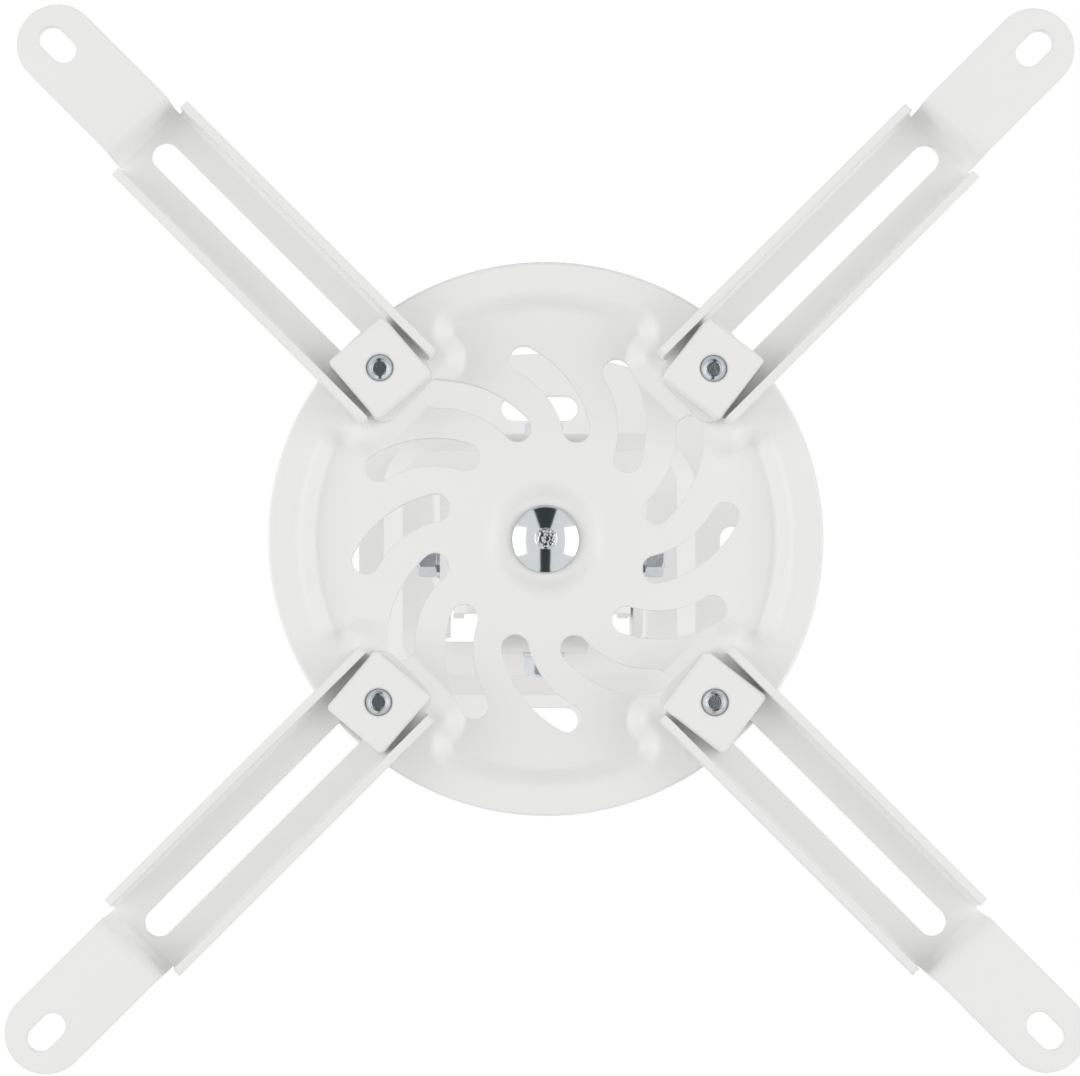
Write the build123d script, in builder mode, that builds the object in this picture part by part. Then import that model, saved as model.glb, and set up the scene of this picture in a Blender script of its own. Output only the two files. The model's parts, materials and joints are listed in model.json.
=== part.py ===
from build123d import *
import math
import os

# Projector ceiling mount, in millimetres and degrees.
# The origin is the centre of the ceiling face, +Z points up into the ceiling, the mount hangs below.
# The four arms lie along X and Y. The brackets above the plate are turned half way between them.
bracket_turn = 45.0

# Ceiling bracket: an oval pressed plate with two lugs folded down out of its middle
ceiling_length = 133.0
ceiling_width = 110.0
ceiling_slot_length = 20.0
ceiling_slot_width = 6.6
ceiling_slot_long_offset = 50.3
ceiling_slot_short_offset = 40.7
plateau_length = 69.0
plateau_width = 56.0
plateau_corner = 8.0
plateau_drop = 5.0
plateau_slope = 5.0
ceiling_lug_width = 39.0
lug_relief = 1.0

# Folded brackets: sheet, bends and the lugs that meet at both pivots
bracket_sheet = 2.5
bracket_bend = 2.5
inner_lug_span = 44.0
lug_reach = 10.0
lug_corner = 7.0
link_upper_width = 30.0
link_lower_width = 20.0
swivel_strip_width = 20.0

# Heights of the two pivots and the folded webs
pitch_axis_drop = 22.0
link_web_drop = 20.0
pivot_spacing = 42.0
swivel_base_drop = 20.0

# Pivot hardware: the bolts pass outwards, apart from those that are put in from outside
pivot_bolt_diameter = 5.0
pivot_hex_width = 8.0
pivot_head_height = 3.5
pivot_nut_height = 4.6
pivot_bolt_end = 0.4
pivot_bolt_chamfer = 0.35
pivot_washer_diameter = 10.0
pivot_washer_thickness = 1.0
friction_washer_diameter = 14.0
friction_washer_thickness = 1.0
inward_bolts = ("roll_bolt_front",)

# Swivel rivet and its washers
rivet_head_diameter = 16.0
rivet_head_height = 4.4
rivet_nub_diameter = 4.8
rivet_nub_height = 0.4
rivet_shank_diameter = 9.0
rivet_peen_diameter = 12.6
rivet_peen_height = 2.2
rivet_washer_diameter = 17.0
rivet_washer_thickness = 1.2
swivel_washer_diameter = 18.0
swivel_washer_thickness = 1.0

# Projector plate: pressed round sheet, recessed inside its rim and between four lands
plate_diameter = 128.4
plate_sheet = 2.0
plate_edge_rounding = 0.7
rim_width = 6.9
recess_depth = 4.0
recess_slope = 3.6
recess_bend = 1.5
recess_outer_corner = 5.0
recess_inner_corner = 2.5
land_width = 29.0
land_heel_length = 9.2
dimple_diameter = 27.0
dimple_depth = 3.0
dimple_slope = 4.0
dimple_bend = 3.0

# Swirled vents
vent_count = 12
vent_dimple_gap = 13.1
vent_land_gap = 2.9
vent_inner_angle = 30.6
vent_sweep = 22.6
vent_bend_radius = 24.5
vent_width = 6.5

# Arm clamps
clamp_edge_distance = 10.0
clamp_bolt_diameter = 6.0
clamp_hex_width = 10.0
clamp_head_height = 4.0
clamp_washer_diameter = 14.0
clamp_washer_thickness = 1.2
clamp_nut_length = 17.4
clamp_nut_thickness = 6.0
clamp_nut_corner = 1.2
clamp_nut_edge = 0.4
clamp_nut_mouth = 0.35
clamp_nut_side_gap = 1.7
clamp_bolt_end = 0.5
clamp_bolt_chamfer = 0.95
clamp_cup_diameter = 3.8
clamp_cup_depth = 1.2
clamp_cup_taper = 12.0

# How far each nut plate has turned in its channel when tightened, as a share of its free turn
clamp_nut_turns = {"right": -0.7, "rear": -0.68, "left": -0.45, "front": 0.4}

# Arms: a slotted channel, a joggle and a round-ended tab
arm_width = 24.0
arm_sheet = 2.0
arm_bend = 1.0
arm_flange_height = 9.0
arm_heel_length = 10.0
arm_heel_corner = 4.0
flange_heel_length = 6.0
flange_corner = 2.0
arm_slot_travel = 70.65
flange_end_margin = 1.4
joggle_length = 4.0
joggle_run = 1.2
joggle_upper_bend = 3.1
joggle_lower_bend = 1.5
tab_reach = 25.45
tab_width = 18.6
tab_slot_length = 9.8
tab_slot_width = 6.0
tab_step = 2.0

# Shared fits
running_clearance = 0.3
thread_clearance = 0.1
hex_chamfer = 0.5
height_tolerance = 0.01

# Heights worked out from the sizes above
plateau_top = -plateau_drop
pitch_axis = -pitch_axis_drop
link_web_top = pitch_axis - link_web_drop
roll_axis = pitch_axis - pivot_spacing
swivel_base_top = roll_axis - swivel_base_drop
swivel_base_bottom = swivel_base_top - bracket_sheet
dimple_top = swivel_base_bottom - swivel_washer_thickness
dimple_bottom = dimple_top - plate_sheet
floor_top = dimple_top - dimple_depth
floor_bottom = floor_top - plate_sheet
rim_top = floor_top - recess_depth
rim_bottom = rim_top - plate_sheet
web_bottom = rim_bottom - arm_sheet
flange_edge = rim_bottom - arm_flange_height
tab_bottom = flange_edge - tab_step

# Distances worked out along the pivots and along an arm
outer_lug_inside = inner_lug_span / 2 + friction_washer_thickness
outer_lug_outside = outer_lug_inside + bracket_sheet
inner_lug_inside = inner_lug_span / 2 - bracket_sheet
pivot_nut_seat = outer_lug_outside + pivot_washer_thickness
recess_diameter = plate_diameter - 2 * rim_width
clamp_radius = plate_diameter / 2 - clamp_edge_distance
land_inner_radius = clamp_radius - land_heel_length
vent_inner_radius = dimple_diameter / 2 + vent_dimple_gap
vent_outer_radius = land_inner_radius - vent_land_gap
slot_width = clamp_bolt_diameter + 2 * running_clearance
slot_outer_center = clamp_radius + arm_slot_travel
flange_start = clamp_radius - flange_heel_length
flange_end = slot_outer_center + slot_width / 2 + flange_end_margin
arm_inner_end = clamp_radius - arm_heel_length
joggle_end = flange_end + joggle_length
tab_hole_radius = joggle_end + tab_reach
neck_width = arm_width - 2 * (arm_bend + arm_sheet)
arm_height = rim_bottom - tab_bottom
clamp_nut_width = arm_width - 2 * (arm_sheet + clamp_nut_side_gap)
clamp_nut_free_turn = math.degrees(math.atan2(2 * clamp_nut_side_gap, clamp_nut_length))


def level_frame(angle):
    """Level frame at the ceiling face, with its X axis turned about the hanging axis."""
    turn = math.radians(angle)
    return Plane(origin=(0, 0, 0), x_dir=(math.cos(turn), math.sin(turn), 0), z_dir=(0, 0, 1))


def side_frame(frame):
    """Upright plane through a frame's X axis: X runs outwards, Y runs up."""
    return Plane(origin=frame.origin, x_dir=frame.x_dir, z_dir=-frame.y_dir)


def end_frame(frame, along, height=0.0):
    """Upright plane across a frame's X axis at a distance along it: Y runs up, Z runs outwards."""
    origin = frame.origin + frame.x_dir * along + frame.z_dir * height
    return Plane(origin=origin, x_dir=frame.y_dir, z_dir=frame.x_dir)


def facing_back(plane):
    """The same plane, seen from its other side."""
    return Plane(origin=plane.origin, x_dir=plane.x_dir, z_dir=-plane.z_dir)


def press_shift(sheet, depth, slope):
    """Plan distance between the two faces of a sheet at the foot of a pressed slope."""
    return sheet * math.tan(math.atan2(depth, slope) / 2)


def edges_along(part, direction):
    """Straight edges of a part that run along a direction."""
    return part.edges().filter_by(Axis((0, 0, 0), direction))


def pressed_edges(part, height, nearest, furthest):
    """Edges of a part that lie at one height, between two distances from the hanging axis."""
    level = part.edges().filter_by_position(Axis.Z, height - height_tolerance, height + height_tolerance)
    return level.filter_by(lambda edge: nearest < math.hypot((edge @ 0.5).X, (edge @ 0.5).Y) < furthest)


def finish(builder, name):
    """Label a finished piece and write it to its own file."""
    builder.part.label = name
    export_step(builder.part, f"parts/{name}.step")


pitch_frame = level_frame(bracket_turn)
roll_frame = level_frame(-bracket_turn)
pitch_sides = {"right": pitch_frame, "left": level_frame(bracket_turn + 180)}
roll_sides = {"front": roll_frame, "rear": level_frame(180 - bracket_turn)}
arm_frames = {
    "right": level_frame(0),
    "rear": level_frame(90),
    "left": level_frame(180),
    "front": level_frame(270),
}


def make_ceiling_bracket():
    """Oval plate with a pressed plateau, screw slots and two lugs folded down out of a window."""
    shift = press_shift(bracket_sheet, plateau_drop, plateau_slope)
    lug_middle = outer_lug_inside + bracket_sheet / 2
    window_half = outer_lug_outside + bracket_bend
    plateau_middle = plateau_top - bracket_sheet / 2
    with BuildPart() as bracket:
        with BuildSketch(pitch_frame.offset(-bracket_sheet)):
            Ellipse(ceiling_length / 2, ceiling_width / 2)
        extrude(amount=bracket_sheet)
        outer_levels = ((-bracket_sheet, plateau_slope + shift), (plateau_top - bracket_sheet, shift))
        for height, growth in outer_levels:
            with BuildSketch(pitch_frame.offset(height)):
                RectangleRounded(
                    plateau_length + 2 * growth, plateau_width + 2 * growth, plateau_corner + growth
                )
        loft(ruled=True)
        for height, growth in ((0, plateau_slope), (plateau_top, 0)):
            with BuildSketch(pitch_frame.offset(height)):
                RectangleRounded(
                    plateau_length + 2 * growth, plateau_width + 2 * growth, plateau_corner + growth
                )
        loft(ruled=True, mode=Mode.SUBTRACT)
        with BuildSketch(pitch_frame):
            Rectangle(2 * window_half, ceiling_lug_width + 2 * lug_relief)
            with Locations((ceiling_slot_long_offset, 0), (-ceiling_slot_long_offset, 0)):
                SlotOverall(ceiling_slot_length, ceiling_slot_width, rotation=90)
            with Locations((0, ceiling_slot_short_offset), (0, -ceiling_slot_short_offset)):
                SlotOverall(ceiling_slot_length, ceiling_slot_width)
        extrude(amount=plateau_top - bracket_sheet, mode=Mode.SUBTRACT)
        for frame in pitch_sides.values():
            with BuildSketch(side_frame(frame)):
                with BuildLine():
                    FilletPolyline(
                        (window_half + lug_relief, plateau_middle),
                        (lug_middle, plateau_middle),
                        (lug_middle, pitch_axis - lug_reach),
                        radius=bracket_bend + bracket_sheet / 2,
                    )
                trace(line_width=bracket_sheet)
            extrude(amount=ceiling_lug_width / 2, both=True)
        fillet(edges_along(bracket, pitch_frame.x_dir).group_by(Axis.Z)[0], lug_corner)
        with BuildSketch(end_frame(pitch_frame, 0, pitch_axis)):
            Circle(pivot_bolt_diameter / 2 + running_clearance)
        extrude(amount=outer_lug_outside, both=True, mode=Mode.SUBTRACT)
    return bracket


def make_cross_link():
    """Cross-shaped sheet folded up at two ends for the pitch pivot and down at two for the roll pivot."""
    lug_middle = inner_lug_span / 2 - bracket_sheet / 2
    web_middle = link_web_top - bracket_sheet / 2
    folds = (
        (pitch_frame, pitch_axis + lug_reach, link_upper_width),
        (roll_frame, roll_axis - lug_reach, link_lower_width),
    )
    with BuildPart() as link:
        for frame, lug_end, width in folds:
            with BuildSketch(side_frame(frame)):
                with BuildLine():
                    FilletPolyline(
                        (-lug_middle, lug_end),
                        (-lug_middle, web_middle),
                        (lug_middle, web_middle),
                        (lug_middle, lug_end),
                        radius=bracket_bend + bracket_sheet / 2,
                    )
                trace(line_width=bracket_sheet)
            extrude(amount=width / 2, both=True)
        fillet(edges_along(link, pitch_frame.x_dir).group_by(Axis.Z)[-1], lug_corner)
        fillet(edges_along(link, roll_frame.x_dir).group_by(Axis.Z)[0], lug_corner)
        for frame, axis_height in ((pitch_frame, pitch_axis), (roll_frame, roll_axis)):
            with BuildSketch(end_frame(frame, 0, axis_height)):
                Circle(pivot_bolt_diameter / 2 + running_clearance)
            extrude(amount=inner_lug_span / 2, both=True, mode=Mode.SUBTRACT)
    return link


def make_swivel_bracket():
    """Strip folded up at both ends, with the rivet's hole through its base."""
    lug_middle = outer_lug_inside + bracket_sheet / 2
    base_middle = swivel_base_top - bracket_sheet / 2
    lug_end = roll_axis + lug_reach
    with BuildPart() as bracket:
        with BuildSketch(side_frame(roll_frame)):
            with BuildLine():
                FilletPolyline(
                    (-lug_middle, lug_end),
                    (-lug_middle, base_middle),
                    (lug_middle, base_middle),
                    (lug_middle, lug_end),
                    radius=bracket_bend + bracket_sheet / 2,
                )
            trace(line_width=bracket_sheet)
        extrude(amount=swivel_strip_width / 2, both=True)
        fillet(edges_along(bracket, roll_frame.x_dir).group_by(Axis.Z)[-1], lug_corner)
        with BuildSketch(end_frame(roll_frame, 0, roll_axis)):
            Circle(pivot_bolt_diameter / 2 + running_clearance)
        extrude(amount=outer_lug_outside, both=True, mode=Mode.SUBTRACT)
        with BuildSketch(roll_frame.offset(swivel_base_bottom)):
            Circle(rivet_shank_diameter / 2 + thread_clearance)
        extrude(amount=bracket_sheet, mode=Mode.SUBTRACT)
    return bracket


def make_ring(plane, outer_diameter, bore_diameter, thickness):
    """Flat washer that stands on a plane."""
    with BuildPart() as ring:
        with BuildSketch(plane):
            Circle(outer_diameter / 2)
            Circle(bore_diameter / 2, mode=Mode.SUBTRACT)
        extrude(amount=thickness)
    return ring


def make_hex_bolt(plane, hex_width, head_height, diameter, length, end_chamfer, cup_depth=0.0):
    """Hex bolt whose head stands on the near side of a plane and whose shank runs out past it."""
    corner_radius = hex_width / 2 / math.cos(math.radians(30))
    with BuildPart() as bolt:
        with BuildSketch(plane):
            Circle(corner_radius)
        extrude(amount=-head_height)
        far_edge = bolt.edges().sort_by(Axis(plane.origin, plane.z_dir))[0]
        chamfer(far_edge, hex_chamfer)
        with BuildSketch(plane):
            RegularPolygon(hex_width / 2, 6, major_radius=False)
        extrude(amount=-head_height, mode=Mode.INTERSECT)
        with BuildSketch(plane):
            Circle(diameter / 2)
        extrude(amount=length)
        end_edge = bolt.edges().sort_by(Axis(plane.origin, plane.z_dir))[-1]
        chamfer(end_edge, end_chamfer)
        if cup_depth > 0:
            with BuildSketch(plane.offset(length)):
                Circle(clamp_cup_diameter / 2)
            extrude(amount=-cup_depth, taper=clamp_cup_taper, mode=Mode.SUBTRACT)
    return bolt


def make_hex_nut(plane, hex_width, height, diameter):
    """Hex nut that stands on a plane, chamfered on both faces."""
    corner_radius = hex_width / 2 / math.cos(math.radians(30))
    with BuildPart() as nut:
        with BuildSketch(plane):
            Circle(corner_radius)
        extrude(amount=height)
        chamfer(nut.edges().filter_by(GeomType.CIRCLE), hex_chamfer)
        with BuildSketch(plane):
            RegularPolygon(hex_width / 2, 6, major_radius=False)
        extrude(amount=height, mode=Mode.INTERSECT)
        with BuildSketch(plane):
            Circle(diameter / 2 + thread_clearance)
        extrude(amount=height, mode=Mode.SUBTRACT)
    return nut


def make_swivel_rivet():
    """Domed rivet with a small nub below, its shank peened over above the swivel bracket."""
    head_radius = rivet_head_diameter / 2
    shank_radius = rivet_shank_diameter / 2
    peen_radius = rivet_peen_diameter / 2
    peen_seat = swivel_base_top + rivet_washer_thickness
    peen_end = peen_seat + rivet_peen_height
    peen_dome_radius = (peen_radius**2 + rivet_peen_height**2) / (2 * rivet_peen_height)
    head_end = dimple_bottom - rivet_head_height
    dome_radius = (head_radius**2 + rivet_head_height**2) / (2 * rivet_head_height)
    nub_radius = rivet_nub_diameter / 2
    nub_root = dome_radius - math.sqrt(dome_radius**2 - nub_radius**2)
    with BuildPart() as rivet:
        with BuildSketch(side_frame(level_frame(0))):
            with BuildLine():
                Line((0, head_end - rivet_nub_height), (nub_radius, head_end - rivet_nub_height))
                Line((nub_radius, head_end - rivet_nub_height), (nub_radius, head_end + nub_root))
                RadiusArc((nub_radius, head_end + nub_root), (head_radius, dimple_bottom), -dome_radius)
                Polyline(
                    (head_radius, dimple_bottom),
                    (shank_radius, dimple_bottom),
                    (shank_radius, peen_seat),
                    (peen_radius, peen_seat),
                )
                RadiusArc((peen_radius, peen_seat), (0, peen_end), -peen_dome_radius)
                Line((0, peen_end), (0, head_end - rivet_nub_height))
            make_face()
        revolve(axis=Axis.Z)
    return rivet


def draw_recess(inset):
    """Outline of the plate's recess: a circle less four lands, drawn in from its mouth by an inset."""
    land_reach = land_inner_radius - inset
    land_length = plate_diameter / 2 - land_reach
    corner_count = 2 * len(arm_frames)
    with BuildSketch(mode=Mode.PRIVATE) as outline:
        Circle(recess_diameter / 2 - inset)
        with PolarLocations(land_reach + land_length / 2, len(arm_frames)):
            Rectangle(land_length, land_width + 2 * inset, mode=Mode.SUBTRACT)
        fillet(outline.vertices().sort_by_distance((0, 0, 0))[-corner_count:], recess_outer_corner - inset)
        fillet(outline.vertices().sort_by_distance((0, 0, 0))[:corner_count], recess_inner_corner + inset)
    return outline.sketch


def make_projector_plate():
    """Pressed round plate: rim and four lands below, recessed floor, centre dimple and swirled vents."""
    frame = level_frame(0)
    shift = press_shift(plate_sheet, recess_depth, recess_slope)
    dimple_shift = press_shift(plate_sheet, dimple_depth, dimple_slope)
    dimple_mouth = dimple_diameter / 2
    dimple_floor = dimple_mouth - dimple_slope
    inner_turn = math.radians(vent_inner_angle)
    outer_turn = math.radians(vent_inner_angle - vent_sweep)
    vent_start = (vent_inner_radius * math.cos(inner_turn), vent_inner_radius * math.sin(inner_turn))
    vent_end = (vent_outer_radius * math.cos(outer_turn), vent_outer_radius * math.sin(outer_turn))
    with BuildPart() as plate:
        with BuildSketch(frame.offset(rim_bottom)):
            Circle(plate_diameter / 2)
        extrude(amount=plate_sheet)
        for height, inset in ((rim_top, -shift), (floor_top, recess_slope - shift)):
            with BuildSketch(frame.offset(height)):
                add(draw_recess(inset))
        loft(ruled=True)
        for height, inset in ((rim_bottom, 0), (floor_bottom, recess_slope)):
            with BuildSketch(frame.offset(height)):
                add(draw_recess(inset))
        loft(ruled=True, mode=Mode.SUBTRACT)
        with BuildSketch(side_frame(frame)):
            Polygon(
                (0, floor_top - plate_sheet / 2),
                (dimple_mouth - dimple_shift, floor_top - plate_sheet / 2),
                (dimple_mouth - dimple_shift, floor_top),
                (dimple_floor - dimple_shift, dimple_top),
                (0, dimple_top),
                align=None,
            )
        revolve(axis=Axis.Z)
        with BuildSketch(side_frame(frame)):
            Polygon(
                (0, floor_bottom),
                (dimple_mouth, floor_bottom),
                (dimple_floor, dimple_bottom),
                (0, dimple_bottom),
                align=None,
            )
        revolve(axis=Axis.Z, mode=Mode.SUBTRACT)
        dimple_limit = (dimple_mouth + land_inner_radius - recess_slope) / 2
        rim_limit = (recess_diameter + plate_diameter) / 4
        for height, radius in (
            (dimple_top, dimple_bend + plate_sheet),
            (dimple_bottom, dimple_bend),
            (floor_top, dimple_bend),
            (floor_bottom, dimple_bend + plate_sheet),
        ):
            fillet(pressed_edges(plate, height, 0, dimple_limit), radius)
        for height, radius in (
            (floor_top, recess_bend + plate_sheet),
            (floor_bottom, recess_bend),
            (rim_top, recess_bend),
            (rim_bottom, recess_bend + plate_sheet),
        ):
            fillet(pressed_edges(plate, height, dimple_limit, rim_limit), radius)
        for height in (rim_top, rim_bottom):
            fillet(pressed_edges(plate, height, rim_limit, plate_diameter), plate_edge_rounding)
        with BuildSketch(frame.offset(rim_bottom)):
            Circle(rivet_shank_diameter / 2 + running_clearance)
            with PolarLocations(clamp_radius, len(arm_frames)):
                Circle(clamp_bolt_diameter / 2 + running_clearance)
            with BuildLine(mode=Mode.PRIVATE) as vent_line:
                RadiusArc(vent_start, vent_end, vent_bend_radius)
            with PolarLocations(0, vent_count):
                SlotArc(vent_line.line.edge(), vent_width)
        extrude(amount=dimple_top - rim_bottom, mode=Mode.SUBTRACT)
    return plate


def make_arm(frame):
    """One arm: slotted channel open downwards, a joggle below its flanges and a round-ended tab."""
    web_middle = (rim_bottom + web_bottom) / 2
    tab_middle = tab_bottom + arm_sheet / 2
    flange_middle = arm_width / 2 - arm_sheet / 2
    strip_length = flange_end - arm_inner_end
    tab_length = tab_hole_radius - flange_end
    arm_axis = Axis(frame.origin, frame.x_dir)
    with BuildPart() as arm:
        with BuildSketch(side_frame(frame)):
            with BuildLine():
                FilletPolyline(
                    (arm_inner_end, web_middle),
                    (joggle_end - joggle_run, web_middle),
                    (joggle_end, tab_middle),
                    (tab_hole_radius + tab_width / 2, tab_middle),
                    radius=(joggle_upper_bend, joggle_lower_bend),
                )
            trace(line_width=arm_sheet)
        extrude(amount=tab_width / 2, both=True)
        with BuildSketch(frame.offset(tab_bottom)) as plan:
            with Locations((arm_inner_end + strip_length / 2, 0)):
                Rectangle(strip_length, neck_width)
            fillet(plan.vertices().group_by(Axis.X)[0], arm_heel_corner)
            with Locations((flange_end + tab_length / 2, 0)):
                Rectangle(tab_length, tab_width)
            with Locations((tab_hole_radius, 0)):
                Circle(tab_width / 2)
        extrude(amount=arm_height, mode=Mode.INTERSECT)
        with BuildSketch(end_frame(frame, flange_start)):
            with BuildLine():
                FilletPolyline(
                    (-flange_middle, flange_edge),
                    (-flange_middle, web_middle),
                    (flange_middle, web_middle),
                    (flange_middle, flange_edge),
                    radius=arm_bend + arm_sheet / 2,
                )
            trace(line_width=arm_sheet)
        extrude(amount=flange_end - flange_start)
        rim_ends = edges_along(arm, frame.y_dir).filter_by_position(
            Axis.Z, flange_edge - height_tolerance, flange_edge + height_tolerance
        )
        fillet(rim_ends.filter_by_position(arm_axis, 0, flange_end + height_tolerance), flange_corner)
        with BuildSketch(frame.offset(tab_bottom)):
            with Locations((clamp_radius + arm_slot_travel / 2, 0)):
                SlotCenterToCenter(arm_slot_travel, slot_width)
            with Locations((tab_hole_radius, 0)):
                SlotOverall(tab_slot_length, tab_slot_width)
        extrude(amount=arm_height, mode=Mode.SUBTRACT)
    return arm


def make_clamp_nut(frame, turn):
    """Square nut plate that lies in an arm's channel, turned a little by the bolt that tightens it."""
    with BuildPart() as nut:
        with BuildSketch(frame.offset(web_bottom - clamp_nut_thickness)):
            with Locations((clamp_radius, 0)):
                RectangleRounded(clamp_nut_length, clamp_nut_width, clamp_nut_corner, rotation=turn)
        extrude(amount=clamp_nut_thickness)
        chamfer(nut.faces().filter_by(Axis.Z).edges(), clamp_nut_edge)
        with BuildSketch(frame.offset(web_bottom - clamp_nut_thickness)):
            with Locations((clamp_radius, 0)):
                Circle(clamp_bolt_diameter / 2 + thread_clearance)
        extrude(amount=clamp_nut_thickness, mode=Mode.SUBTRACT)
        bore_edges = nut.edges().filter_by(GeomType.CIRCLE).group_by(SortBy.RADIUS)[-1]
        chamfer(bore_edges.sort_by(Axis.Z)[0], clamp_nut_mouth)
    return nut


def make_clamp_bolt(frame):
    """Clamp bolt: hex head above the plate, cupped end just below the nut plate."""
    head_seat = rim_top + clamp_washer_thickness
    bolt_end = web_bottom - clamp_nut_thickness - clamp_bolt_end
    seat = Plane(
        origin=frame.x_dir * clamp_radius + frame.z_dir * head_seat, x_dir=frame.x_dir, z_dir=-frame.z_dir
    )
    return make_hex_bolt(
        seat,
        clamp_hex_width,
        clamp_head_height,
        clamp_bolt_diameter,
        head_seat - bolt_end,
        clamp_bolt_chamfer,
        cup_depth=clamp_cup_depth,
    )


os.makedirs("parts", exist_ok=True)
finish(make_ceiling_bracket(), "ceiling_bracket")
finish(make_cross_link(), "cross_link")
finish(make_swivel_bracket(), "swivel_bracket")
finish(make_projector_plate(), "projector_plate")
finish(make_swivel_rivet(), "swivel_rivet")

rivet_bore = rivet_shank_diameter + 2 * running_clearance
finish(
    make_ring(pitch_frame.offset(dimple_top), swivel_washer_diameter, rivet_bore, swivel_washer_thickness),
    "swivel_friction_washer",
)
finish(
    make_ring(
        pitch_frame.offset(swivel_base_top), rivet_washer_diameter, rivet_bore, rivet_washer_thickness
    ),
    "rivet_washer",
)

pivot_bore = pivot_bolt_diameter + 2 * running_clearance
pivot_length = pivot_nut_seat + pivot_nut_height + pivot_bolt_end - inner_lug_inside
for pivot, sides, height in (("pitch", pitch_sides, pitch_axis), ("roll", roll_sides, roll_axis)):
    for side, frame in sides.items():
        bolt_name = f"{pivot}_bolt_{side}"
        head_seat = end_frame(frame, inner_lug_inside, height)
        nut_seat = end_frame(frame, pivot_nut_seat, height)
        if bolt_name in inward_bolts:
            head_seat, nut_seat = facing_back(nut_seat), facing_back(head_seat)
        finish(
            make_hex_bolt(
                head_seat,
                pivot_hex_width,
                pivot_head_height,
                pivot_bolt_diameter,
                pivot_length,
                pivot_bolt_chamfer,
            ),
            bolt_name,
        )
        finish(
            make_ring(
                end_frame(frame, inner_lug_span / 2, height),
                friction_washer_diameter,
                pivot_bore,
                friction_washer_thickness,
            ),
            f"{pivot}_friction_washer_{side}",
        )
        finish(
            make_ring(
                end_frame(frame, outer_lug_outside, height),
                pivot_washer_diameter,
                pivot_bore,
                pivot_washer_thickness,
            ),
            f"{pivot}_washer_{side}",
        )
        finish(
            make_hex_nut(nut_seat, pivot_hex_width, pivot_nut_height, pivot_bolt_diameter),
            f"{pivot}_nut_{side}",
        )

clamp_bore = clamp_bolt_diameter + 2 * running_clearance
for side, frame in arm_frames.items():
    finish(make_arm(frame), f"arm_{side}")
    nut_turn = clamp_nut_turns[side] * clamp_nut_free_turn
    finish(make_clamp_nut(frame, nut_turn), f"clamp_nut_{side}")
    finish(make_clamp_bolt(frame), f"clamp_bolt_{side}")
    washer_seat = Plane(
        origin=frame.x_dir * clamp_radius + frame.z_dir * rim_top, x_dir=frame.x_dir, z_dir=frame.z_dir
    )
    finish(
        make_ring(washer_seat, clamp_washer_diameter, clamp_bore, clamp_washer_thickness),
        f"clamp_washer_{side}",
    )
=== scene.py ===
"""Looks of a white projector ceiling mount: finishes, the headed rivet, studio and camera.

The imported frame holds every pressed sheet, bolt, nut and washer in its place. This script gives each
of them the finish of the real piece. It makes the swivel rivet anew, with a flatter crown than the
packed one and a torn tip, and looks up at the mount from below, as someone who hangs a projector does.
"""

from __future__ import annotations

import json
import logging
import math
import random
from collections.abc import Mapping
from dataclasses import dataclass
from enum import Enum
from typing import Any

import bmesh
import bpy
from mathutils import Matrix, Vector


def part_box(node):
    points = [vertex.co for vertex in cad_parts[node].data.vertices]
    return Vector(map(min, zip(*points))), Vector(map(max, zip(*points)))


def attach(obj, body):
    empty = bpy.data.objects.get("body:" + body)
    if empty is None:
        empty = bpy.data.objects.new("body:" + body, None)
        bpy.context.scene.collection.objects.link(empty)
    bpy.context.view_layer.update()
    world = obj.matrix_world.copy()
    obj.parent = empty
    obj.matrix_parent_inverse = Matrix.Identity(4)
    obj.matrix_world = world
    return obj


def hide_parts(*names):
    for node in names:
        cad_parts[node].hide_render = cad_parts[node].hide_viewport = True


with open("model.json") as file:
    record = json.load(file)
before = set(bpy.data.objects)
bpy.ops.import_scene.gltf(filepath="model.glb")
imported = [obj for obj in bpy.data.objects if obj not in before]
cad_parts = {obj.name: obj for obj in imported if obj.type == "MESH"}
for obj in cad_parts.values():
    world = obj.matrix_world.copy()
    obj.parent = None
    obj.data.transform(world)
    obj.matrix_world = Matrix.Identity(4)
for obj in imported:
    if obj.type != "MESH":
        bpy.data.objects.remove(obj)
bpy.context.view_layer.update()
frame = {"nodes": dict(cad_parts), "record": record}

LOG = logging.getLogger("projector_mount")
MM = 0.001
IMAGE_WIDTH_PX = 1080
SENSOR_WIDTH_MM = 36.0
WHITE = "#ffffff"

# Rays that look for an edge to round, enough for it to look smooth
EDGE_SAMPLES = 6

# Watts that give a square metre of lamp face a brightness of one
WATTS_PER_LEVEL = 4.0


class Slot(Enum):
    """Material slots of the record."""

    PAINT = "white_powder_coat"
    ZINC = "zinc_plated_steel"
    RIVET = "nickel_plated_steel"
    NYLON = "natural_nylon"


def linear(hex_code: str) -> tuple[float, float, float, float]:
    """Turn an sRGB hex colour into linear values.

    Args:
        hex_code: Colour as six hex digits after a hash sign.

    Returns:
        Linear red, green, blue and an alpha of one.
    """
    channels = [int(hex_code[start : start + 2], 16) / 255 for start in (1, 3, 5)]
    red, green, blue = (
        value / 12.92 if value <= 0.04045 else ((value + 0.055) / 1.055) ** 2.4 for value in channels
    )
    return red, green, blue, 1.0


def per_metre(size_mm: float) -> float:
    """Texture scale whose features are about a real size."""
    return 1.0 / (size_mm * MM)


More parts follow.
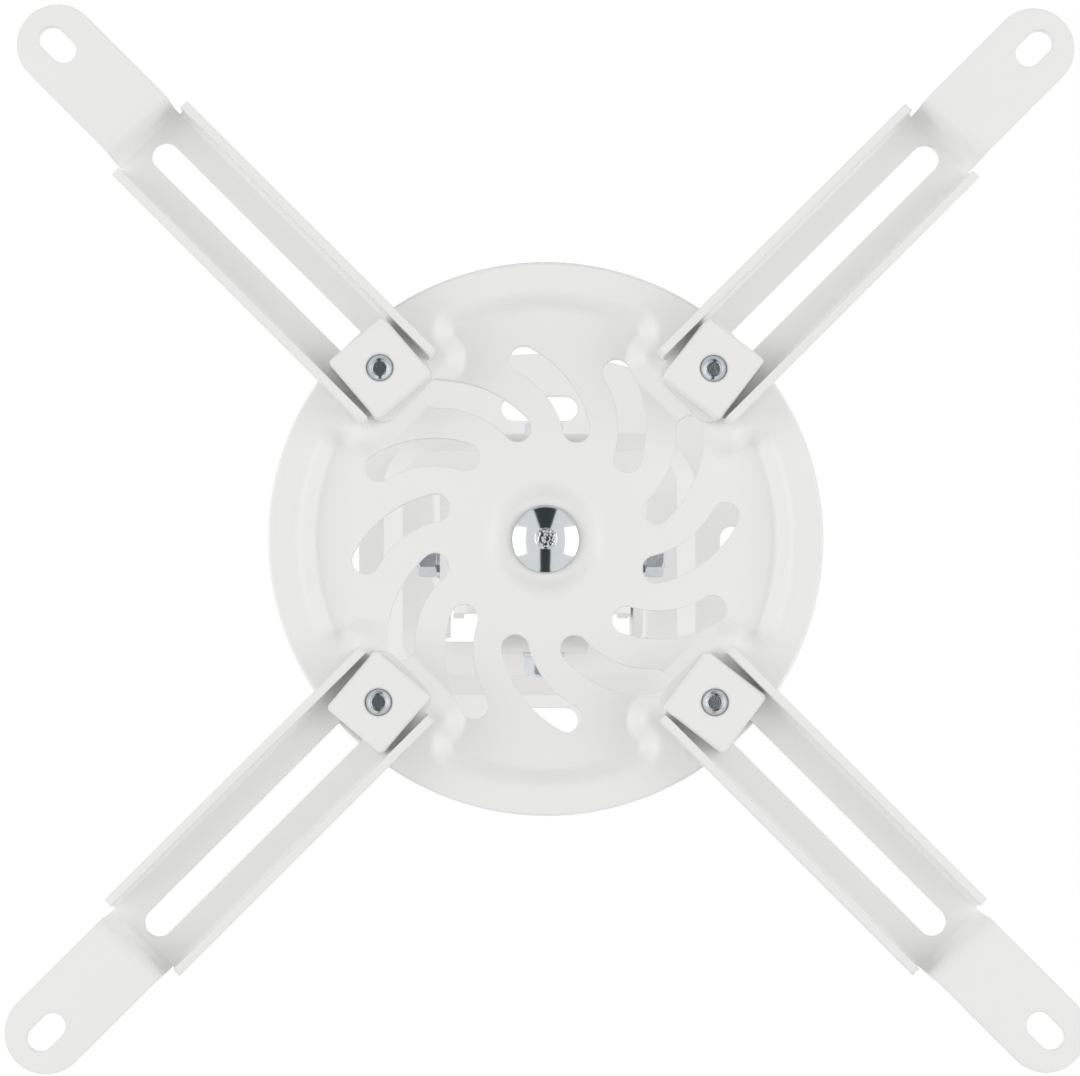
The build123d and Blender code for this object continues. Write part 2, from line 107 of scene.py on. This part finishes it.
def photo_point(right_mm: float, up_mm: float, height_mm: float) -> Vector:
    """Place a point by the view's right and up directions, which lie half way between the arms.

    Args:
        right_mm: Distance to the right of the hanging axis, as the camera sees it.
        up_mm: Distance up from the hanging axis, as the camera sees it.
        height_mm: Height in the row frame, with the ceiling at zero.

    Returns:
        The point in the row frame, in metres.
    """
    half = math.sqrt(0.5)
    return Vector((half * (right_mm + up_mm), half * (right_mm - up_mm), height_mm)) * MM


def add_node(
    tree: bpy.types.NodeTree,
    kind: str,
    settings: Mapping[str, Any] | None = None,
    links: Mapping[str | int, bpy.types.NodeSocket] | None = None,
) -> bpy.types.Node:
    """Add a shader node, set its properties and sockets, and link sockets into it.

    Args:
        tree: Node tree that takes the node.
        kind: Node type.
        settings: Property or input name to value.
        links: Input name or number to the output socket that feeds it.

    Returns:
        The new node.
    """
    node = tree.nodes.new(kind)
    for name, value in (settings or {}).items():
        if hasattr(node, name):
            setattr(node, name, value)
        else:
            node.inputs[name].default_value = value
    for name, source in (links or {}).items():
        tree.links.new(source, node.inputs[name])
    return node


def new_material(name: str) -> tuple[bpy.types.Material, bpy.types.NodeTree]:
    """Make an empty node material.

    Args:
        name: Name of the finish.

    Returns:
        The material and its cleared node tree.
    """
    material = bpy.data.materials.new(name)
    material.use_nodes = True
    material.node_tree.nodes.clear()
    return material, material.node_tree


def background_rays(tree: bpy.types.NodeTree) -> bpy.types.NodeSocket:
    """Tell the rays that show the background, in the view or in metal or glass, from those that light.

    Args:
        tree: Node tree of the world or of the floor.

    Returns:
        Socket that is one for a ray that shows the background and zero for any other.
    """
    path = add_node(tree, "ShaderNodeLightPath").outputs
    seen = add_node(
        tree,
        "ShaderNodeMath",
        {"operation": "MAXIMUM"},
        {0: path["Is Camera Ray"], 1: path["Is Glossy Ray"]},
    )
    shown = add_node(
        tree,
        "ShaderNodeMath",
        {"operation": "MAXIMUM"},
        {0: seen.outputs[0], 1: path["Is Transmission Ray"]},
    )
    return shown.outputs[0]


@dataclass(frozen=True)
class PowderCoat:
    """Polyester powder coat, baked on pressed steel: an even satin white with a faint orange peel.

    The melt draws back from sharp edges, so cut edges look softly rounded, and thick areas flow
    out to a fine ripple that breaks up reflections without hiding them.
    """

    name: str = "white_polyester_powder_coat"
    slot: Slot = Slot.PAINT
    colour: str = "#f5f5f5"
    thin_colour: str = "#f3f3f1"
    drift_mm: float = 55.0
    drift_detail: float = 3.0
    peel_mm: float = 1.3
    peel_detail: float = 2.0
    peel_depth_mm: float = 0.002
    grit_mm: float = 0.3
    grit_detail: float = 1.0
    grit_depth_mm: float = 0.0012
    edge_mm: float = 0.35
    roughness: tuple[float, float] = (0.34, 0.42)
    ior: float = 1.5

    def build(self) -> bpy.types.Material:
        """Build the finish.

        Returns:
            The material.
        """
        material, tree = new_material(self.name)
        place = add_node(tree, "ShaderNodeTexCoord").outputs["Object"]
        drift = add_node(
            tree,
            "ShaderNodeTexNoise",
            {"Scale": per_metre(self.drift_mm), "Detail": self.drift_detail},
            {"Vector": place},
        )
        colour = add_node(
            tree,
            "ShaderNodeMix",
            {"data_type": "RGBA", "A": linear(self.colour), "B": linear(self.thin_colour)},
            {"Factor": drift.outputs["Fac"]},
        )
        peel = add_node(
            tree,
            "ShaderNodeTexNoise",
            {"Scale": per_metre(self.peel_mm), "Detail": self.peel_detail},
            {"Vector": place},
        )
        grit = add_node(
            tree,
            "ShaderNodeTexNoise",
            {"Scale": per_metre(self.grit_mm), "Detail": self.grit_detail},
            {"Vector": place},
        )
        gloss = add_node(
            tree,
            "ShaderNodeMapRange",
            {"To Min": self.roughness[0], "To Max": self.roughness[1]},
            {"Value": peel.outputs["Fac"]},
        )
        edge = add_node(tree, "ShaderNodeBevel", {"samples": EDGE_SAMPLES, "Radius": self.edge_mm * MM})
        ripple = add_node(
            tree,
            "ShaderNodeBump",
            {"Strength": 1.0, "Distance": self.peel_depth_mm * MM},
            {"Height": peel.outputs["Fac"], "Normal": edge.outputs["Normal"]},
        )
        grain = add_node(
            tree,
            "ShaderNodeBump",
            {"Strength": 1.0, "Distance": self.grit_depth_mm * MM},
            {"Height": grit.outputs["Fac"], "Normal": ripple.outputs["Normal"]},
        )
        shader = add_node(
            tree,
            "ShaderNodeBsdfPrincipled",
            {"IOR": self.ior},
            {
                "Base Color": colour.outputs["Result"],
                "Roughness": gloss.outputs["Result"],
                "Normal": grain.outputs["Normal"],
            },
        )
        add_node(tree, "ShaderNodeOutputMaterial", links={"Surface": shader.outputs["BSDF"]})
        return material


@dataclass(frozen=True)
class PlatedSteel:
    """Steel with a bright electroplated skin: cool grey metal with faint clouds and drawing marks."""

    name: str
    slot: Slot
    bright: str
    dull: str
    roughness: tuple[float, float]
    grain_mm: float
    grain_detail: float = 2.0
    grain_depth_mm: float = 0.0016
    cloud_mm: float = 2.2
    cloud_detail: float = 3.0
    edge_mm: float = 0.15

    def build(self) -> bpy.types.Material:
        """Build the finish.

        Returns:
            The material.
        """
        material, tree = new_material(self.name)
        place = add_node(tree, "ShaderNodeTexCoord").outputs["Object"]
        cloud = add_node(
            tree,
            "ShaderNodeTexNoise",
            {"Scale": per_metre(self.cloud_mm), "Detail": self.cloud_detail},
            {"Vector": place},
        )
        grain = add_node(
            tree,
            "ShaderNodeTexNoise",
            {"Scale": per_metre(self.grain_mm), "Detail": self.grain_detail},
            {"Vector": place},
        )
        colour = add_node(
            tree,
            "ShaderNodeMix",
            {"data_type": "RGBA", "A": linear(self.bright), "B": linear(self.dull)},
            {"Factor": cloud.outputs["Fac"]},
        )
        gloss = add_node(
            tree,
            "ShaderNodeMapRange",
            {"To Min": self.roughness[0], "To Max": self.roughness[1]},
            {"Value": cloud.outputs["Fac"]},
        )
        edge = add_node(tree, "ShaderNodeBevel", {"samples": EDGE_SAMPLES, "Radius": self.edge_mm * MM})
        skin = add_node(
            tree,
            "ShaderNodeBump",
            {"Strength": 1.0, "Distance": self.grain_depth_mm * MM},
            {"Height": grain.outputs["Fac"], "Normal": edge.outputs["Normal"]},
        )
        shader = add_node(
            tree,
            "ShaderNodeBsdfPrincipled",
            {"Metallic": 1.0},
            {
                "Base Color": colour.outputs["Result"],
                "Roughness": gloss.outputs["Result"],
                "Normal": skin.outputs["Normal"],
            },
        )
        add_node(tree, "ShaderNodeOutputMaterial", links={"Surface": shader.outputs["BSDF"]})
        return material


@dataclass(frozen=True)
class Nylon:
    """Natural nylon sheet, stamped into washers: off-white, slightly waxy, a little light goes in."""

    name: str = "stamped_nylon"
    slot: Slot = Slot.NYLON
    colour: str = "#e6e2d6"
    shade: str = "#dcd7c8"
    mottle_mm: float = 1.6
    mottle_detail: float = 4.0
    bump_mm: float = 0.01
    bump_strength: float = 0.6
    roughness: float = 0.45
    ior: float = 1.53
    glow_weight: float = 0.15
    glow_mm: float = 1.0

    def build(self) -> bpy.types.Material:
        """Build the finish.

        Returns:
            The material.
        """
        material, tree = new_material(self.name)
        place = add_node(tree, "ShaderNodeTexCoord").outputs["Object"]
        mottle = add_node(
            tree,
            "ShaderNodeTexNoise",
            {"Scale": per_metre(self.mottle_mm), "Detail": self.mottle_detail},
            {"Vector": place},
        )
        colour = add_node(
            tree,
            "ShaderNodeMix",
            {"data_type": "RGBA", "A": linear(self.colour), "B": linear(self.shade)},
            {"Factor": mottle.outputs["Fac"]},
        )
        bump = add_node(
            tree,
            "ShaderNodeBump",
            {"Strength": self.bump_strength, "Distance": self.bump_mm * MM},
            {"Height": mottle.outputs["Fac"]},
        )
        shader = add_node(
            tree,
            "ShaderNodeBsdfPrincipled",
            {
                "IOR": self.ior,
                "Roughness": self.roughness,
                "Subsurface Weight": self.glow_weight,
                "Subsurface Scale": self.glow_mm * MM,
            },
            {"Base Color": colour.outputs["Result"], "Normal": bump.outputs["Normal"]},
        )
        add_node(tree, "ShaderNodeOutputMaterial", links={"Surface": shader.outputs["BSDF"]})
        return material


def build_finishes() -> dict[Slot, bpy.types.Material]:
    """Build one material for each slot of the record.

    Returns:
        Slot to material.
    """
    finishes = (
        PowderCoat(),
        PlatedSteel(
            "bright_zinc_plate",
            Slot.ZINC,
            bright="#dfe2e6",
            dull="#c8ccd1",
            roughness=(0.13, 0.22),
            grain_mm=0.28,
            grain_depth_mm=0.02,
        ),
        PlatedSteel(
            "bright_nickel_plate",
            Slot.RIVET,
            bright="#d4d8da",
            dull="#ced2d4",
            roughness=(0.09, 0.13),
            grain_mm=1.2,
        ),
        Nylon(),
    )
    return {finish.slot: finish.build() for finish in finishes}


def dress_nodes(materials: Mapping[Slot, bpy.types.Material]) -> None:
    """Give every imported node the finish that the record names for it.

    Args:
        materials: Slot to material.
    """
    for subpart in frame["record"]["subparts"]:
        node = frame["nodes"][subpart["node"]]
        material = materials[Slot(subpart["material_slot"])]
        node.data.materials.clear()
        node.data.materials.append(material)
        LOG.info("%s gets %s", subpart["node"], material.name)


def place_piece(
    mesh: bmesh.types.BMesh, name: str, body: str, slot: Slot, materials: Mapping[Slot, bpy.types.Material]
) -> bpy.types.Object:
    """Turn a finished bmesh into a piece that moves with a body.

    Args:
        mesh: The shape, in the row frame, in metres. It is freed.
        name: Name of the piece.
        body: Body that carries it.
        slot: Material slot of the record.
        materials: Slot to material.

    Returns:
        The new object.
    """
    bmesh.ops.recalc_face_normals(mesh, faces=mesh.faces)
    data = bpy.data.meshes.new(name)
    mesh.to_mesh(data)
    mesh.free()
    data.materials.append(materials[slot])
    piece = bpy.data.objects.new(name, data)
    bpy.context.scene.collection.objects.link(piece)
    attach(piece, body)
    LOG.info("%s rides on %s", name, body)
    return piece


@dataclass(frozen=True)
class SwivelRivet:
    """Cold-headed rivet that the plate turns on: a flat-crowned dome below, a peened end above.

    The dome is flat and stands on a short straight land, so its edge mirrors the room and not the
    sheet beside it. The wire is sheared to length before it is headed, and the torn grain of that
    cut stays on the tip as a crust of bright and dark facets.
    """

    node: str = "swivel_rivet"
    body: str = "swivel_bracket"
    solid_height_mm: float = 4.8
    crown_mm: float = 2.7
    land_mm: float = 0.5
    merge_mm: float = 0.002
    nub_radius_mm: float = 2.4
    nub_height_mm: float = 0.4
    shank_radius_mm: float = 4.5
    peen_radius_mm: float = 6.3
    peen_height_mm: float = 2.2
    arc_steps: int = 24
    turn_steps: int = 128
    tip_radius_mm: float = 2.46
    tip_crown_mm: float = 0.34
    tip_sink_mm: float = 0.16
    tear_mm: float = 0.09
    tear_steps: int = 4
    tear_smoothing: float = 0.35
    seed: int = 7

    def build(self, materials: Mapping[Slot, bpy.types.Material]) -> None:
        """Turn the rivet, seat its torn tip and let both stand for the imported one.

        Args:
            materials: Slot to material.
        """
        low, high = (Vector(corner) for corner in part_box(self.node))
        axis = (low + high) / 2
        seat_z = low.z / MM + self.solid_height_mm
        tip_z = seat_z - self.land_mm - self.crown_mm - self.nub_height_mm
        turned = self.turn(tip_z, seat_z, high.z / MM, (high.x - low.x) / 2 / MM)
        bmesh.ops.translate(turned, verts=turned.verts, vec=Vector((axis.x, axis.y, 0)))
        rivet = place_piece(turned, "headed_rivet", self.body, Slot.RIVET, materials)
        rivet.data.shade_smooth()
        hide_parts(self.node)
        torn = self.tear_tip()
        seat = Vector((axis.x, axis.y, (tip_z + self.tip_sink_mm) * MM))
        bmesh.ops.translate(torn, verts=torn.verts, vec=seat)
        place_piece(torn, "rivet_tip", self.body, Slot.RIVET, materials)

    def turn(self, tip_z: float, seat_z: float, peen_z: float, head_radius: float) -> bmesh.types.BMesh:
        """Spin the rivet's half section about its axis.

        Args:
            tip_z: Height of the tip's face, in millimetres.
            seat_z: Height of the head's flat seat.
            peen_z: Height of the peened end's top.
            head_radius: Radius of the head.

        Returns:
            The rivet about the Z axis, in metres.
        """
        peen_seat_z = peen_z - self.peen_height_mm
        crown_z = tip_z + self.nub_height_mm
        outline = [(0.0, tip_z), (self.nub_radius_mm, tip_z)]
        outline += self.arc(crown_z, self.crown_mm, self.nub_radius_mm, head_radius)
        outline += [(head_radius, seat_z)]
        outline += [(self.shank_radius_mm, seat_z), (self.shank_radius_mm, peen_seat_z)]
        outline += reversed(self.arc(peen_z, -self.peen_height_mm, 0.0, self.peen_radius_mm))
        shape = bmesh.new()
        points = [shape.verts.new(Vector((radius, 0, height)) * MM) for radius, height in outline]
        edges = [shape.edges.new(pair) for pair in zip(points, points[1:])]
        bmesh.ops.spin(
            shape,
            geom=points + edges,
            cent=Vector(),
            axis=Vector((0, 0, 1)),
            angle=2 * math.pi,
            steps=self.turn_steps,
            use_merge=True,
        )
        bmesh.ops.remove_doubles(shape, verts=shape.verts, dist=self.merge_mm * MM)
        return shape

    def arc(self, crest_z: float, rise: float, inner: float, outer: float) -> list[tuple[float, float]]:
        """Points of a ball segment, from an inner radius to its edge.

        Args:
            crest_z: Height of the crest on the axis.
            rise: Height of the edge above the crest, negative where the segment opens down.
            inner: Radius of the first point.
            outer: Radius of the edge.

        Returns:
            Radius and height of each point.
        """
        ball = (outer**2 + rise**2) / (2 * rise)
        first, last = (math.asin(radius / ball) for radius in (inner, outer))
        turns = [first + (last - first) * step / self.arc_steps for step in range(self.arc_steps + 1)]
        return [(ball * math.sin(turn), crest_z + ball * (1 - math.cos(turn))) for turn in turns]

    def tear_tip(self) -> bmesh.types.BMesh:
        """Flatten a ball to a low button and tear its skin.

        Returns:
            The button about the origin, in metres.
        """
        draw = random.Random(self.seed)
        shape = bmesh.new()
        bmesh.ops.create_icosphere(shape, subdivisions=self.tear_steps, radius=self.tip_radius_mm * MM)
        flatten = Vector((1.0, 1.0, self.tip_crown_mm / self.tip_radius_mm))
        bmesh.ops.scale(shape, verts=shape.verts, vec=flatten)
        for vert in shape.verts:
            vert.co.z += draw.uniform(-self.tear_mm, self.tear_mm) * MM
        bmesh.ops.smooth_vert(shape, verts=shape.verts, factor=self.tear_smoothing, use_axis_z=True)
        return shape


@dataclass(frozen=True)
class PhotoView:
    """Camera below the mount, a few degrees off its hanging axis, looking up."""

    right_mm: float = -13.4
    up_mm: float = -55.1
    height_mm: float = -831.7
    aim_right_mm: float = -1.5
    aim_up_mm: float = -0.5
    aim_height_mm: float = -100.0
    focal_px: float = 3192.0

    def build(self) -> bpy.types.Object:
        """Make the camera and use it.

        Returns:
            The camera object.
        """
        data = bpy.data.cameras.new("photo_view")
        data.sensor_width = SENSOR_WIDTH_MM
        data.lens = self.focal_px * SENSOR_WIDTH_MM / IMAGE_WIDTH_PX
        camera = bpy.data.objects.new("photo_view", data)
        eye = photo_point(self.right_mm, self.up_mm, self.height_mm)
        aim = photo_point(self.aim_right_mm, self.aim_up_mm, self.aim_height_mm)
        forward = (aim - eye).normalized()
        right = forward.cross(photo_point(0, 1, 0)).normalized()
        up = right.cross(forward)
        turn = Matrix((right, up, -forward)).transposed().to_4x4()
        camera.matrix_world = Matrix.Translation(eye) @ turn
        bpy.context.scene.collection.objects.link(camera)
        bpy.context.scene.camera = camera
        return camera


@dataclass(frozen=True)
class Softbox:
    """Lamp with a wide even face, which stands around the mount and is turned to it."""

    name: str
    bearing_deg: float
    reach_mm: float = 1150.0
    height_mm: float = -777.0
    width_mm: float = 1250.0
    drop_mm: float = 790.0
    level: float = 1.45

    def hang(self, aim: Vector) -> bpy.types.Object:
        """Make the lamp.

        Args:
            aim: Point that it faces.

        Returns:
            The lamp object.
        """
        bearing = math.radians(self.bearing_deg)
        right, up = self.reach_mm * math.cos(bearing), self.reach_mm * math.sin(bearing)
        place = photo_point(right, up, self.height_mm)
        data = bpy.data.lights.new(self.name, "AREA")
        data.shape = "RECTANGLE"
        data.size = self.width_mm * MM
        data.size_y = self.drop_mm * MM
        data.energy = self.level * WATTS_PER_LEVEL * data.size * data.size_y
        lamp = bpy.data.objects.new(self.name, data)
        away = (place - aim).normalized()
        across = photo_point(-math.sin(bearing), math.cos(bearing), 0).normalized()
        rise = away.cross(across)
        lamp.matrix_world = Matrix.Translation(place) @ Matrix((across, rise, away)).transposed().to_4x4()
        lamp.visible_camera = False
        bpy.context.scene.collection.objects.link(lamp)
        LOG.info("%s lights the mount", self.name)
        return lamp


@dataclass(frozen=True)
class Studio:
    """White room with a softbox at each side, and between them, where the viewer stands, a dark sheet that
    only paints a dark reflection into polished metal.
    """

    floor_height_mm: float = -2400.0
    floor_size_mm: float = 60000.0
    floor_colour: str = "#f0f0ee"
    floor_glow: float = 0.95
    fill: float = 0.72
    aim_height_mm: float = -100.0
    softboxes: tuple[Softbox, ...] = (
        Softbox("left_softbox", bearing_deg=180.0),
        Softbox("right_softbox", bearing_deg=0.0),
    )
    reflection_stations_mm: tuple[tuple[float, float], ...] = (
        (-1500.0, 270.0),
        (0.0, 156.0),
        (450.0, 193.0),
        (1700.0, 625.0),
    )
    reflection_height_mm: float = -1000.0
    # Colour of the painted reflection: the dim grey that the dark sheet shows in polished metal
    painted_reflection_colour: str = "#41474a"

    def build(self) -> None:
        """Make the world, the floor, the softboxes and the dark sheet that paints a dark reflection into
        metal.
        """
        self.light_world()
        self.lay_floor()
        aim = photo_point(0, 0, self.aim_height_mm)
        for softbox in self.softboxes:
            softbox.hang(aim)
        self.hang_painted_reflection()

    def light_world(self) -> None:
        """White room: plain fill on the mount, white where the camera, metal or glass looks at it."""
        world = bpy.data.worlds.new("white_room")
        world.use_nodes = True
        tree = world.node_tree
        tree.nodes.clear()
        fill = add_node(tree, "ShaderNodeBackground", {"Color": linear(WHITE), "Strength": self.fill})
        white = add_node(tree, "ShaderNodeBackground", {"Color": linear(WHITE), "Strength": 1.0})
        mix = add_node(
            tree,
            "ShaderNodeMixShader",
            links={0: background_rays(tree), 1: fill.outputs[0], 2: white.outputs[0]},
        )
        add_node(tree, "ShaderNodeOutputWorld", links={"Surface": mix.outputs[0]})
        bpy.context.scene.world = world

    def lay_floor(self) -> None:
        """Pale floor, a room's height below the ceiling."""
        shape = bmesh.new()
        bmesh.ops.create_grid(shape, x_segments=1, y_segments=1, size=self.floor_size_mm * MM / 2)
        bmesh.ops.translate(shape, verts=shape.verts, vec=Vector((0, 0, self.floor_height_mm * MM)))
        material, tree = new_material("pale_floor")
        weight = add_node(
            tree,
            "ShaderNodeMapRange",
            {"To Max": self.floor_glow},
            {"Value": background_rays(tree)},
        )
        matt = add_node(tree, "ShaderNodeBsdfDiffuse", {"Color": linear(self.floor_colour)})
        glow = add_node(tree, "ShaderNodeEmission", {"Color": linear(WHITE), "Strength": 1.0})
        mix = add_node(
            tree,
            "ShaderNodeMixShader",
            links={0: weight.outputs["Result"], 1: matt.outputs[0], 2: glow.outputs[0]},
        )
        add_node(tree, "ShaderNodeOutputMaterial", links={"Surface": mix.outputs[0]})
        self.set_up(shape, "pale_floor", material)

    def hang_painted_reflection(self) -> None:
        """Painted reflection: a dark sheet between the softboxes, wider on the far side. The camera,
        diffuse light and shadows never see it, so it only paints a dark band into polished metal.
        """
        shape = bmesh.new()
        rungs = []
        for reach, half in self.reflection_stations_mm:
            corners = [photo_point(side * half, reach, self.reflection_height_mm) for side in (-1, 1)]
            rungs.append(shape.edges.new([shape.verts.new(corner) for corner in corners]))
        for pair in zip(rungs, rungs[1:]):
            bmesh.ops.bridge_loops(shape, edges=pair)
        walls = bmesh.ops.extrude_edge_only(shape, edges=[rungs[0], rungs[-1]])
        raised = [item for item in walls["geom"] if isinstance(item, bmesh.types.BMVert)]
        bmesh.ops.translate(shape, verts=raised, vec=Vector((0, 0, -self.reflection_height_mm * MM)))
        material, tree = new_material("painted_reflection_sheet")
        # Painted reflection: a dim emitter that only glossy rays see
        reflection_glow = add_node(tree, "ShaderNodeEmission", {"Color": linear(self.painted_reflection_colour), "Strength": 1.0})
        add_node(tree, "ShaderNodeOutputMaterial", links={"Surface": reflection_glow.outputs[0]})
        gap = self.set_up(shape, "painted_reflection_sheet", material)
        gap.visible_camera = False
        gap.visible_diffuse = False
        gap.visible_shadow = False
        gap.visible_transmission = False

    @staticmethod
    def set_up(shape: bmesh.types.BMesh, name: str, material: bpy.types.Material) -> bpy.types.Object:
        """Put a part of the studio in place.

        Args:
            shape: Its shape, in the row frame, in metres. It is freed.
            name: Its name.
            material: Its surface.

        Returns:
            The new object.
        """
        data = bpy.data.meshes.new(name)
        shape.to_mesh(data)
        shape.free()
        data.materials.append(material)
        thing = bpy.data.objects.new(name, data)
        bpy.context.scene.collection.objects.link(thing)
        LOG.info("%s stands in the studio", name)
        return thing


def main() -> None:
    """Dress the mount and set up its view."""
    logging.basicConfig(level=logging.INFO)
    bpy.context.scene.view_settings.view_transform = "Standard"
    materials = build_finishes()
    dress_nodes(materials)
    SwivelRivet().build(materials)
    Studio().build()
    PhotoView().build()


if __name__ == "__main__":
    main()
